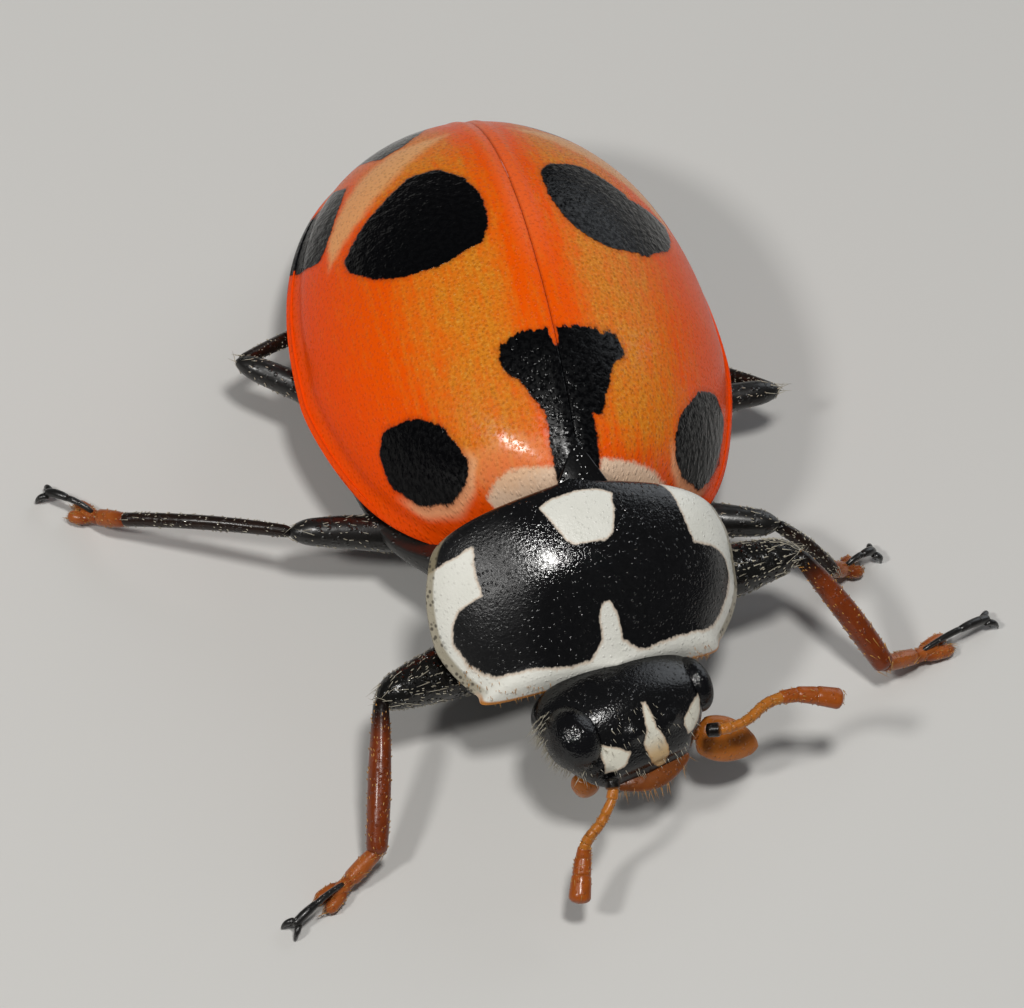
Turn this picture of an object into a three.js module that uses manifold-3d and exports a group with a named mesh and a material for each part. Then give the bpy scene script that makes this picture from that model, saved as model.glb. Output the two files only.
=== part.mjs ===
// A ladybird at life size, walking pose, standing on the floor.
// Millimetres, +Z up. The head faces -Y, and the insect's own left side is +X.
// Every piece is a closed solid. A piece gives way, by a fine gap, to the pieces built before it.
import * as THREE from 'three';
import { mergeVertices } from 'three/addons/utils/BufferGeometryUtils.js';
import Module from 'manifold-3d';

const wasm = await Module();
wasm.setup();

// ---------- driving dimensions ----------

const GAP = 0.02; // room between two neighbouring solids
const SPLIT = 0.01; // half the slit between two halves of one form
const MERGE = 1e-4; // vertices closer than this are one
const FAR = 8; // reaches past the whole insect

// The pair of wing cases: one dome, widest at a share of its length behind the shoulders. It lies
// a little aside, and the left shoulder is skewed a little ahead of the right one.
const CASES = {
  front: -0.9,
  length: 3.93,
  half: 1.65,
  crown: 2.156,
  baseCrown: 1.852,
  rim: 0.78,
  tailDrop: 0.2,
  widest: 0.4,
  wall: 0.5,
  aside: 0.03,
  skew: 0.07,
};

// The trunk under the cases: a hull whose flanks stop inside the rim, parted at the waist.
const TRUNK = { front: -0.86, length: 3.66, share: 0.86, below: 0.05, depth: 0.28, waist: 0.55 };

// The neck shield (pronotum) and the fore trunk below it, turned a little to the insect's left.
const SHIELD = { hind: [-0.055, -0.93, 0], turn: 8.2, keel: 0.95, skew: 0.07 };
const FORE = { length: 1.28, half: 0.82, crown: 1.6, rim: 0.85, keel: 0.46 };

// The head is turned further to the same side. Its own origin lies midway between the eyes.
const HEAD = { middle: [0.17, -2.46, 0.99], turn: 19 };
const EYE = { out: 0.5, ahead: 0, up: 0.05, radii: [0.21, 0.27, 0.25] };
const LIP = { ahead: 0.37, down: 0.27, radii: [0.36, 0.15, 0.13] };

// Limbs and feelers: thinner than half a millimetre in life, kept that thick here.
const LIMB = {
  coxa: [0.26, 0.26, 0.26],
  femur: [0.25, 0.27, 0.25],
  tibia: [0.24, 0.24, 0.24],
  tarsus: [0.24, 0.24, 0.24],
};
const COXA_REACH = 0.26; // how far a coxa runs inward from the hip
const TOE_HEIGHT = 0.2; // centre of the toe's round end above the floor
const FEELER = { shaft: [0.23, 0.23, 0.23], club: [0.23, 0.25, 0.25], palp: [0.15, 0.24, 0.24] };

// The pose. Each leg: hip, knee and ankle, and where the claws touch the floor.
const LEGS = {
  front_right: {
    hip: [-0.38, -1.5, 0.58],
    knee: [-1.57, -1.95, 0.8],
    ankle: [-1.74, -2.94, 0.28],
    tip: [-2.48, -3.42],
  },
  front_left: {
    hip: [0.6, -1.22, 0.6],
    knee: [1.76, -1.14, 0.95],
    ankle: [2.4, -1.77, 0.28],
    tip: [3.4, -1.32],
  },
  middle_right: {
    hip: [-0.5, -0.42, 0.45],
    knee: [-1.87, -0.33, 0.64],
    ankle: [-3.0, 0.17, 0.26],
    tip: [-3.52, 0.61],
  },
  middle_left: {
    hip: [0.5, -0.35, 0.45],
    knee: [1.76, -0.68, 0.64],
    ankle: [2.2, -0.88, 0.26],
    tip: [2.64, -0.64],
  },
  hind_right: {
    hip: [-0.5, 0.32, 0.45],
    knee: [-1.94, 1.24, 0.6],
    ankle: [-0.98, 1.76, 0.28],
    tip: [-0.75, 2.42],
  },
  hind_left: {
    hip: [0.5, 0.45, 0.45],
    knee: [2.04, 0.53, 0.6],
    ankle: [1.3, 1.1, 0.28],
    tip: [1.42, 1.82],
  },
};

// Each feeler: its foot on the head, the bend, where the club starts, and the tip.
const ANTENNAE = {
  right: {
    foot: [-0.02, -2.86, 0.9],
    bend: [-0.13, -3.05, 0.82],
    club: [-0.25, -3.34, 0.6],
    tip: [-0.36, -3.62, 0.35],
  },
  left: {
    foot: [0.72, -2.6, 0.93],
    bend: [1.25, -2.38, 0.95],
    club: [1.5, -2.4, 0.92],
    tip: [1.84, -2.42, 0.88],
  },
};
const PALPS = {
  right: { foot: [0.06, -2.58, 0.68], tip: [-0.12, -2.65, 0.58] },
  left: { foot: [0.62, -2.46, 0.64], tip: [1.01, -2.48, 0.53] },
};

// ---------- colours ----------

const finish = (color, roughness) => new THREE.MeshStandardMaterial({ color, roughness, metalness: 0 });
const RED_SHELL = finish(0xd8481a, 0.3);
const BLACK_SHELL = finish(0x0c0a0c, 0.28);
const BLACK_BODY = finish(0x151214, 0.5);
const AMBER = finish(0xa5541c, 0.4);
const EYE_BLACK = finish(0x14171c, 0.2);

// ---------- form makers ----------

const up = new THREE.Vector3(0, 1, 0);
const radians = THREE.MathUtils.degToRad;

// A geometry as a solid that can be joined and cut.
function solidOf(geometry) {
  geometry.deleteAttribute('normal');
  geometry.deleteAttribute('uv');
  const merged = mergeVertices(geometry, MERGE);
  const vertProperties = new Float32Array(merged.attributes.position.array);
  const triVerts = new Uint32Array(merged.index.array);
  return new wasm.Manifold(new wasm.Mesh({ numProp: 3, vertProperties, triVerts }));
}

// A closed form lofted along Y on a ball's rings. ringAt(turn) says where a ring lies, its
// half-width, and the heights of its crown, rim and keel. turn runs 0 to 1 from the -Y end.
function loft(ringAt, { around, along, crownPower, keelPower }, grow, place) {
  const ball = new THREE.SphereGeometry(1, around, along);
  const point = ball.attributes.position;
  const low = ringAt(0).y;
  const high = ringAt(1).y;
  const stretch = 1 + (2 * grow) / (high - low);
  const middle = (low + high) / 2;
  for (let i = 0; i < point.count; i += 1) {
    const round = Math.hypot(point.getX(i), point.getZ(i));
    const atPole = round < MERGE;
    const across = atPole ? 0 : point.getX(i) / round;
    const rise = atPole ? 0 : point.getZ(i) / round;
    const ring = ringAt(1 - Math.acos(THREE.MathUtils.clamp(point.getY(i), -1, 1)) / Math.PI);
    const above = (ring.crown + grow - ring.rim) * Math.max(rise, 0) ** crownPower;
    const below = (ring.rim - ring.keel + grow) * Math.max(-rise, 0) ** keelPower;
    const y = middle + (ring.y - middle) * stretch;
    point.setXYZ(i, across * (ring.half + grow), y, ring.rim + above - below);
  }
  if (place) place(ball);
  return solidOf(ball);
}

// Rings read from a few named stations, with a smooth curve between them.
function stationRings(stations) {
  const turns = stations.map((station) => station.turn);
  const values = stations.flatMap(({ y, half, crown, rim, keel }) => [y, half, crown, rim, keel]);
  const curve = new THREE.CubicInterpolant(turns, values, 5);
  return (turn) => {
    const [y, half, crown, rim, keel] = curve.evaluate(turn);
    return { y, half, crown, rim, keel };
  };
}

// A round limb between two points, with a radius at its start, middle and end.
function limb(from, to, radii, grow) {
  const sides = 8;
  const capSteps = 2;
  const start = new THREE.Vector3(...from);
  const run = new THREE.Vector3(...to).sub(start);
  const length = run.length();
  const [first, mid, last] = radii.map((radius) => radius + grow);
  const profile = [];
  for (let i = 0; i <= capSteps; i += 1) {
    const angle = ((i / capSteps) * Math.PI) / 2;
    profile.push(new THREE.Vector2(first * Math.sin(angle), -first * Math.cos(angle)));
  }
  profile.push(new THREE.Vector2(mid, length / 2));
  for (let i = 0; i <= capSteps; i += 1) {
    const angle = ((i / capSteps) * Math.PI) / 2;
    profile.push(new THREE.Vector2(last * Math.cos(angle), length + last * Math.sin(angle)));
  }
  profile[0].x = 0;
  profile[profile.length - 1].x = 0;
  const form = new THREE.LatheGeometry(profile, sides);
  form.applyQuaternion(new THREE.Quaternion().setFromUnitVectors(up, run.normalize()));
  form.translate(start.x, start.y, start.z);
  return solidOf(form);
}

// An egg-shaped solid with three radii, placed by the caller.
function egg(radii, grow, place) {
  const form = new THREE.SphereGeometry(1, 10, 7);
  form.scale(...radii.map((radius) => radius + grow));
  place(form);
  return solidOf(form);
}

// A block that fills the space between two heights, depths or widths, to cut with.
function block(low, high) {
  const form = new THREE.BoxGeometry(high[0] - low[0], high[1] - low[1], high[2] - low[2]);
  form.translate((low[0] + high[0]) / 2, (low[1] + high[1]) / 2, (low[2] + high[2]) / 2);
  return solidOf(form);
}

// ---------- the assembly ----------

const ladybird = new THREE.Group();
const built = [];

const biggest = (solid) => solid.decompose().reduce((a, b) => (b.volume() > a.volume() ? b : a));

function near(a, b) {
  const one = a.boundingBox();
  const two = b.boundingBox();
  return [0, 1, 2].every((axis) => one.min[axis] < two.max[axis] && two.min[axis] < one.max[axis]);
}

// Adds a piece. shape(grow) gives its solid, swollen by grow all round.
function add(name, material, shape) {
  let solid = shape(0);
  for (const room of built) {
    if (near(solid, room)) solid = solid.subtract(room);
  }
  built.push(shape(GAP));
  const { vertProperties, triVerts } = biggest(solid).getMesh();
  const geometry = new THREE.BufferGeometry();
  geometry.setAttribute('position', new THREE.BufferAttribute(new Float32Array(vertProperties), 3));
  geometry.setIndex(new THREE.BufferAttribute(new Uint32Array(triVerts), 1));
  geometry.computeBoundingBox();
  const centre = geometry.boundingBox.getCenter(new THREE.Vector3());
  geometry.translate(-centre.x, -centre.y, -centre.z);
  geometry.computeVertexNormals();
  const mesh = new THREE.Mesh(geometry, material.clone());
  mesh.name = name;
  mesh.position.copy(centre);
  ladybird.add(mesh);
}

// ---------- wing cases ----------

// Half-width of the closed cases at a share of their length, with rounded shoulders and tip.
function caseHalf(share) {
  const ahead = Math.max(CASES.widest - share, 0) / CASES.widest;
  const behind = Math.max(share - CASES.widest, 0) / (1 - CASES.widest);
  const shoulder = (1 - 0.33 * ahead ** 1.5) * Math.sqrt(1 - ahead ** 7);
  return CASES.half * shoulder * Math.sqrt(1 - behind ** 2.33);
}

// Height of the dome's edge: level, then lower towards the tip.
function caseRim(share) {
  const behind = Math.max(share - CASES.widest, 0) / (1 - CASES.widest);
  return CASES.rim - CASES.tailDrop * behind ** 2;
}

// Height of the dome's ridge at a share of its length.
function caseCrown(share) {
  const ahead = Math.max(CASES.widest - share, 0) / CASES.widest;
  const behind = Math.max(share - CASES.widest, 0) / (1 - CASES.widest);
  const rim = caseRim(share);
  const fall = rim + (CASES.crown - rim) * (1 - behind ** 2.2) ** 0.62;
  return share < CASES.widest ? CASES.crown - (CASES.crown - CASES.baseCrown) * ahead ** 2 : fall;
}

const along = (turn) => (1 - Math.cos(Math.PI * turn)) / 2;

function domeRing(turn) {
  const share = along(turn);
  const y = CASES.front + CASES.length * share;
  const rim = caseRim(share);
  return { y, half: caseHalf(share), crown: caseCrown(share), rim, keel: rim - 0.02 };
}

// The hollow of the dome: the same form less the wall, open in front and below.
function hollowRing(turn) {
  const length = CASES.length - CASES.wall;
  const front = CASES.front - 0.3;
  const y = front + (length + 0.3) * along(turn);
  const share = Math.max((y - CASES.front) / length, 0.06);
  const thinner = (CASES.crown - CASES.wall - CASES.rim) / (CASES.crown - CASES.rim);
  const rim = caseRim(share);
  return {
    y,
    half: caseHalf(share) * (1 - CASES.wall / CASES.half),
    crown: rim + (caseCrown(share) - rim) * thinner,
    rim,
    keel: rim - TRUNK.below - TRUNK.depth / 2,
  };
}

function onCases(form) {
  const point = form.attributes.position;
  const reach = CASES.widest * CASES.length;
  for (let i = 0; i < point.count; i += 1) {
    const ahead = Math.max(CASES.front + reach - point.getY(i), 0) / reach;
    point.setY(i, point.getY(i) - CASES.skew * ahead * point.getX(i));
  }
  form.translate(CASES.aside, 0, 0);
}

const domeGrid = { around: 30, along: 15, crownPower: 1.24, keelPower: 1 };
const hollowGrid = { around: 14, along: 8, crownPower: 1.24, keelPower: 0.7 };
const dome = (grow) => loft(domeRing, domeGrid, grow, onCases);
const hollow = (grow) => loft(hollowRing, hollowGrid, grow, onCases);

function wingCase(side) {
  return (grow) => {
    const seam = CASES.aside + side * SPLIT;
    const low = side > 0 ? seam : -FAR;
    const high = side > 0 ? FAR : seam;
    const half = block([low, -FAR, -FAR], [high, FAR, FAR]);
    return dome(grow).subtract(hollow(-grow)).intersect(half);
  };
}

// The scutellum: a small three-cornered plate between the bases of the cases.
function scutellum(grow) {
  const corner = new THREE.Shape();
  corner.moveTo(-0.2 - grow, -0.05 - grow);
  corner.lineTo(0.2 + grow, -0.05 - grow);
  corner.lineTo(0, 0.3 + 2 * grow);
  const form = new THREE.ExtrudeGeometry(corner, { depth: 0.5 + 2 * grow, bevelEnabled: false });
  form.translate(CASES.aside, CASES.front + 0.02, CASES.baseCrown - 0.46 - grow);
  return solidOf(form);
}

add('scutellum', BLACK_SHELL, scutellum);
add('elytron_left', RED_SHELL, wingCase(1));
add('elytron_right', RED_SHELL, wingCase(-1));

// ---------- neck shield ----------

// The right hind corner of the shield lies a little further back than the left one.
function skewShield(form) {
  const point = form.attributes.position;
  for (let i = 0; i < point.count; i += 1) {
    const hind = THREE.MathUtils.clamp(1 + point.getY(i) / 0.6, 0, 1);
    point.setY(i, point.getY(i) - SHIELD.skew * hind * point.getX(i));
  }
  onShield(form);
}

function onShield(form) {
  form.rotateZ(radians(SHIELD.turn));
  form.translate(...SHIELD.hind);
}

// Stations from the front edge (turn 0) to the hind edge (turn 1). y is 0 at the hind middle.
const shieldRings = stationRings([
  { turn: 0, y: -1.235, half: 0, crown: 1.24, rim: 1.12, keel: SHIELD.keel + 0.2 },
  { turn: 0.1, y: -1.165, half: 0.87, crown: 1.29, rim: 0.965, keel: SHIELD.keel + 0.18 },
  { turn: 0.2, y: -1.05, half: 0.975, crown: 1.41, rim: 0.95, keel: SHIELD.keel + 0.1 },
  { turn: 0.35, y: -0.83, half: 1.11, crown: 1.63, rim: 1.0, keel: SHIELD.keel - 0.04 },
  { turn: 0.5, y: -0.6, half: 1.175, crown: 1.78, rim: 1.09, keel: SHIELD.keel },
  { turn: 0.7, y: -0.28, half: 1.13, crown: 1.87, rim: 1.37, keel: SHIELD.keel + 0.1 },
  { turn: 0.85, y: -0.07, half: 0.9, crown: 1.88, rim: 1.55, keel: SHIELD.keel + 0.2 },
  { turn: 1, y: 0.05, half: 0, crown: 1.86, rim: 1.75, keel: SHIELD.keel + 0.3 },
]);

const foreRings = stationRings([
  { turn: 0, y: -FORE.length, half: 0, crown: FORE.crown, rim: FORE.rim, keel: FORE.rim - 0.1 },
  {
    turn: 0.2,
    y: -0.9 * FORE.length,
    half: 0.72 * FORE.half,
    crown: FORE.crown,
    rim: FORE.rim,
    keel: FORE.keel + 0.06,
  },
  { turn: 0.5, y: -0.5 * FORE.length, half: FORE.half, crown: FORE.crown, rim: FORE.rim, keel: FORE.keel },
  { turn: 0.85, y: -0.06, half: 0.95 * FORE.half, crown: FORE.crown, rim: FORE.rim, keel: FORE.keel },
  { turn: 1, y: 0, half: 0, crown: FORE.crown, rim: FORE.rim, keel: FORE.keel },
]);

const shieldGrid = { around: 24, along: 12, crownPower: 1.2, keelPower: 0.6 };
const foreGrid = { around: 10, along: 6, crownPower: 1, keelPower: 0.8 };
add('pronotum', BLACK_SHELL, (grow) => loft(shieldRings, shieldGrid, grow, skewShield));

// ---------- head ----------

function onHead(form) {
  form.rotateZ(radians(HEAD.turn));
  form.translate(...HEAD.middle);
}

// Stations from the lip (turn 0) back to the neck (turn 1), about the middle of the eyes.
const headRings = stationRings([
  { turn: 0, y: -0.38, half: 0, crown: -0.16, rim: -0.2, keel: -0.26 },
  { turn: 0.15, y: -0.34, half: 0.36, crown: -0.03, rim: -0.18, keel: -0.32 },
  { turn: 0.35, y: -0.2, half: 0.53, crown: 0.15, rim: -0.08, keel: -0.38 },
  { turn: 0.6, y: 0.05, half: 0.65, crown: 0.27, rim: 0, keel: -0.38 },
  { turn: 0.85, y: 0.42, half: 0.56, crown: 0.2, rim: -0.05, keel: -0.32 },
  { turn: 1, y: 0.55, half: 0, crown: 0, rim: -0.1, keel: -0.2 },
]);

for (const [side, sign] of [['left', 1], ['right', -1]]) {
  add(`eye_${side}`, EYE_BLACK, (grow) => egg(EYE.radii, grow, (form) => {
    form.translate(sign * EYE.out, -EYE.ahead, EYE.up);
    onHead(form);
  }));
}

const headGrid = { around: 14, along: 8, crownPower: 1, keelPower: 0.8 };
add('head', BLACK_SHELL, (grow) => loft(headRings, headGrid, grow, onHead));

add('labrum', AMBER, (grow) => egg(LIP.radii, grow, (form) => {
  form.translate(0, -LIP.ahead, -LIP.down);
  onHead(form);
}));

for (const [side, { foot, bend, club, tip }] of Object.entries(ANTENNAE)) {
  const clubRadius = FEELER.club[2];
  const reach = new THREE.Vector3(...tip).sub(new THREE.Vector3(...club));
  const clubEnd = reach.setLength(reach.length() - clubRadius).add(new THREE.Vector3(...club)).toArray();
  add(`antenna_${side}_shaft`, AMBER, (grow) => {
    const scape = limb(foot, bend, FEELER.shaft, grow);
    return scape.add(limb(bend, club, FEELER.shaft, grow));
  });
  add(`antenna_${side}_club`, AMBER, (grow) => limb(club, clubEnd, FEELER.club, grow));
}

for (const [side, { foot, tip }] of Object.entries(PALPS)) {
  add(`palp_${side}`, AMBER, (grow) => limb(foot, tip, FEELER.palp, grow));
}

// ---------- legs ----------

const floor = block([-FAR, -FAR, -FAR], [FAR, FAR, 0]);

for (const [place, { hip, knee, ankle, tip }] of Object.entries(LEGS)) {
  const inward = Math.sign(hip[0]) * COXA_REACH;
  const root = [hip[0] - inward, hip[1], hip[2] + 0.04];
  const bearing = Math.atan2(tip[1] - ankle[1], tip[0] - ankle[0]);
  const toeRadius = LIMB.tarsus[2];
  const toe = [tip[0] - toeRadius * Math.cos(bearing), tip[1] - toeRadius * Math.sin(bearing), TOE_HEIGHT];
  add(`coxa_${place}`, BLACK_BODY, (grow) => limb(root, hip, LIMB.coxa, grow));
  add(`femur_${place}`, BLACK_BODY, (grow) => limb(hip, knee, LIMB.femur, grow));
  add(`tibia_${place}`, AMBER, (grow) => limb(knee, ankle, LIMB.tibia, grow));
  add(`tarsus_${place}`, AMBER, (grow) => limb(ankle, toe, LIMB.tarsus, grow).subtract(floor));
}

// ---------- trunk ----------

add('prothorax', BLACK_BODY, (grow) => loft(foreRings, foreGrid, grow, onShield));

// The belly hull below the rim of the cases. Its keel climbs to the tail.
function bellyRing(turn) {
  const share = along(turn);
  const climb = Math.max(share - 0.5, 0) / 0.5;
  const top = caseRim(share) - TRUNK.below;
  return {
    y: TRUNK.front + TRUNK.length * share,
    half: caseHalf(Math.max(share, 0.03)) * TRUNK.share,
    crown: top,
    rim: top - 0.03,
    keel: top - 0.03 - TRUNK.depth * (1 - climb ** 2.5),
  };
}

function trunk(grow) {
  const belly = loft(bellyRing, { around: 16, along: 9, crownPower: 0.5, keelPower: 0.8 }, grow, onCases);
  const back = hollow(grow - 1.5 * GAP).subtract(block([-FAR, -FAR, -FAR], [FAR, TRUNK.front, FAR]));
  return belly.add(back);
}

function trunkPart(low, high) {
  return (grow) => trunk(grow).intersect(block([-FAR, low, -FAR], [FAR, high, FAR]));
}

add('thorax', BLACK_BODY, trunkPart(-FAR, TRUNK.waist - SPLIT));
add('abdomen', BLACK_BODY, trunkPart(TRUNK.waist + SPLIT, FAR));

// ---------- place on the floor ----------

// The origin is the middle of the insect's bounding box, at floor level.
const bounds = new THREE.Box3().setFromObject(ladybird, true);
const middle = bounds.getCenter(new THREE.Vector3());
ladybird.position.set(-middle.x, -middle.y, -bounds.min.z);

export default ladybird;
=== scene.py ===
import random
from math import acos, atan2, copysign, cos, dist, exp, hypot, pi, radians, sin, sqrt, tan, tau
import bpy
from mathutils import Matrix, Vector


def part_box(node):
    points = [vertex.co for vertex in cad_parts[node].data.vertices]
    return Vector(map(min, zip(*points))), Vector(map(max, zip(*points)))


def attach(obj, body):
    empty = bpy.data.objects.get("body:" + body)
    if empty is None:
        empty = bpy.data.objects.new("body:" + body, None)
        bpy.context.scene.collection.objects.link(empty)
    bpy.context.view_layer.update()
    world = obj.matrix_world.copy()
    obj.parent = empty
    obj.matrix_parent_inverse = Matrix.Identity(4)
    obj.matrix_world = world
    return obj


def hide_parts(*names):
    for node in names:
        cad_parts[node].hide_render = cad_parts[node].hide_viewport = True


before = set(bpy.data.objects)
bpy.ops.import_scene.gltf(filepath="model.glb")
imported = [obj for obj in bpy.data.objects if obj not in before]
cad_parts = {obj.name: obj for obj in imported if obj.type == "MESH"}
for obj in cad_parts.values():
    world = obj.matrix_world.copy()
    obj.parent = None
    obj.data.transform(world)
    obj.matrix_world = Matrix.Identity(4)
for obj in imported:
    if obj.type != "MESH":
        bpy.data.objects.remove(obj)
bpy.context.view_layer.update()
from types import SimpleNamespace

import bmesh
import bpy
from mathutils import Matrix, Vector, kdtree, noise

scene = bpy.context.scene

# All sizes below are in millimetres in the insect's own frame: head towards -Y, its left side
# towards +X, the floor at zero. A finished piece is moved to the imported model's place in metres.
MM = 0.001
RIGHT_ANGLE = pi / 2
DRAW = random.Random(7)

CASES = SimpleNamespace(
    front=-0.9, length=3.93, half=1.65, crown=2.156, base_crown=1.852, rim=0.78, tail_drop=0.2,
    widest=0.4, wall=0.06, lip=0.045, seam=0.001, turn_in=0.02, aside=0.03, skew=0.07,
    tail_gap=0.001, dome=1.24, fold=-0.5)
SHIELD = SimpleNamespace(hind=Vector((-0.055, -0.93, 0)), turn=radians(8.2), keel=0.95, skew=0.07)
EYES = {"right": {"place": (-0.49, 0, 0.04), "radii": (0.2, 0.26, 0.235)},
        "left": {"place": (0.6, 0.055, -0.025), "radii": (0.125, 0.22, 0.205)}}
LIMB_SOLID = {"coxa": 0.26, "femur": 0.25, "tibia": 0.24}
SIDES = (("left", 1), ("right", -1))
LEGS = [f"{row}_{side}" for row in ("front", "middle", "hind") for side in ("right", "left")]

low_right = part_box("elytron_right")[0]
high_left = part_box("elytron_left")[1]
TAIL = CASES.front + CASES.length - CASES.tail_gap
ORIGIN = Vector(((low_right.x + high_left.x) / 2 - CASES.aside * MM, high_left.y - TAIL * MM, 0))


def node_points(node):
    """The vertices of a CAD node, in the insect's frame."""
    return [(v.co - ORIGIN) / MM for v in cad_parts[node].data.vertices]


# ---------- camera, floor and light ----------


def placed(name, data):
    """A new object in the scene."""
    made = bpy.data.objects.new(name, data)
    scene.collection.objects.link(made)
    return made


def facing(azimuth, elevation):
    """Unit vector towards a place round the insect; azimuth 0 is ahead of it."""
    a, e = radians(azimuth), radians(elevation)
    return Vector((sin(a) * cos(e), -cos(a) * cos(e), sin(e)))


CAMERA = SimpleNamespace(
    azimuth=-24.555, elevation=54.622, roll=radians(14.792), distance=150.0, across=-0.0209,
    above=0.117, lens=707.6, sensor=36, clip=(0.002, 20))
# Each lamp: azimuth, elevation, distance and size in millimetres, watts, colour.
LAMPS = {"key": (-19, 77, 70, 11, 0.0245, (1, 0.985, 0.96)),
         "low": (-67, 48, 70, 9, 0.0165, (1, 0.985, 0.96)),
         "behind": (132, 24, 110, 90, 0.026, (0.9, 0.95, 1))}
SKY = {"Color": (0.80, 0.81, 0.83, 1), "Strength": 0.11}


def set_camera():
    azimuth, roll = radians(CAMERA.azimuth), CAMERA.roll
    back = facing(CAMERA.azimuth, CAMERA.elevation)
    level = Vector((cos(azimuth), sin(azimuth), 0))
    upright = back.cross(level)
    right = cos(roll) * level + sin(roll) * upright
    up = cos(roll) * upright - sin(roll) * level
    data = bpy.data.cameras.new("camera")
    data.lens = CAMERA.lens
    data.sensor_width = CAMERA.sensor
    data.clip_start, data.clip_end = CAMERA.clip
    camera = placed("camera", data)
    offset = back * CAMERA.distance + right * CAMERA.across + up * CAMERA.above
    turn = Matrix((right, up, back)).transposed().to_4x4()
    camera.matrix_world = Matrix.Translation(offset * MM + ORIGIN) @ turn
    scene.camera = camera


def set_lamp(name, azimuth, elevation, distance, size, watts, colour):
    data = bpy.data.lights.new(name, "AREA")
    data.shape = "DISK"
    data.size = size * MM
    data.energy = watts
    data.color = colour
    away = facing(azimuth, elevation)
    turn = away.to_track_quat("Z", "Y").to_matrix().to_4x4()
    placed(name, data).matrix_world = Matrix.Translation(ORIGIN + away * distance * MM) @ turn


set_camera()
for name, settings in LAMPS.items():
    set_lamp(name, *settings)
world = bpy.data.worlds.new("studio")
scene.world = world
world.use_nodes = True
for socket, value in SKY.items():
    world.node_tree.nodes["Background"].inputs[socket].default_value = value
scene.view_settings.view_transform = "Standard"


# ---------- finishes ----------


def paint(hex_colour):
    """A screen colour such as 'e8501a' as a linear one."""
    parts = [int(hex_colour[i:i + 2], 16) / 255 for i in (0, 2, 4)]
    return tuple(c / 12.92 if c < 0.04045 else ((c + 0.055) / 1.055) ** 2.4 for c in parts) + (1,)


class Wire:
    """One output of a node. Arithmetic on it adds Math nodes."""

    def __init__(self, look, socket):
        self.look, self.socket = look, socket

    def math(self, operation, *terms, clamp=False):
        settings = {"operation": operation, "use_clamp": clamp}
        return self.look.node("Math", settings, dict(enumerate(terms)))

    def __add__(self, other):
        return self.math("ADD", self, other)

    def __sub__(self, other):
        return self.math("SUBTRACT", self, other)

    def __rsub__(self, other):
        return self.math("SUBTRACT", other, self)

    def __mul__(self, other):
        return self.math("MULTIPLY", self, other)

    __radd__ = __add__
    __rmul__ = __mul__

    def low(self, other, blend):
        """The lesser of two fields, so the union of two marks."""
        return self.math("SMOOTH_MIN", self, other, blend)

    def high(self, other, blend):
        return self.math("SMOOTH_MAX", self, other, blend)

    def size(self):
        return self.math("ABSOLUTE", self)

    def clear(self):
        """Held between 0 and 1."""
        return self.math("ADD", self, 0.0, clamp=True)

    def step(self, start, end):
        """0 at start, 1 at end, smooth between."""
        settings = {"interpolation_type": "SMOOTHSTEP"}
        return self.look.node("MapRange", settings, {0: self, 1: start, 2: end})

    def inside(self, soft):
        """1 inside a mark's outline and 0 outside."""
        return self.step(soft, -soft)


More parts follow.
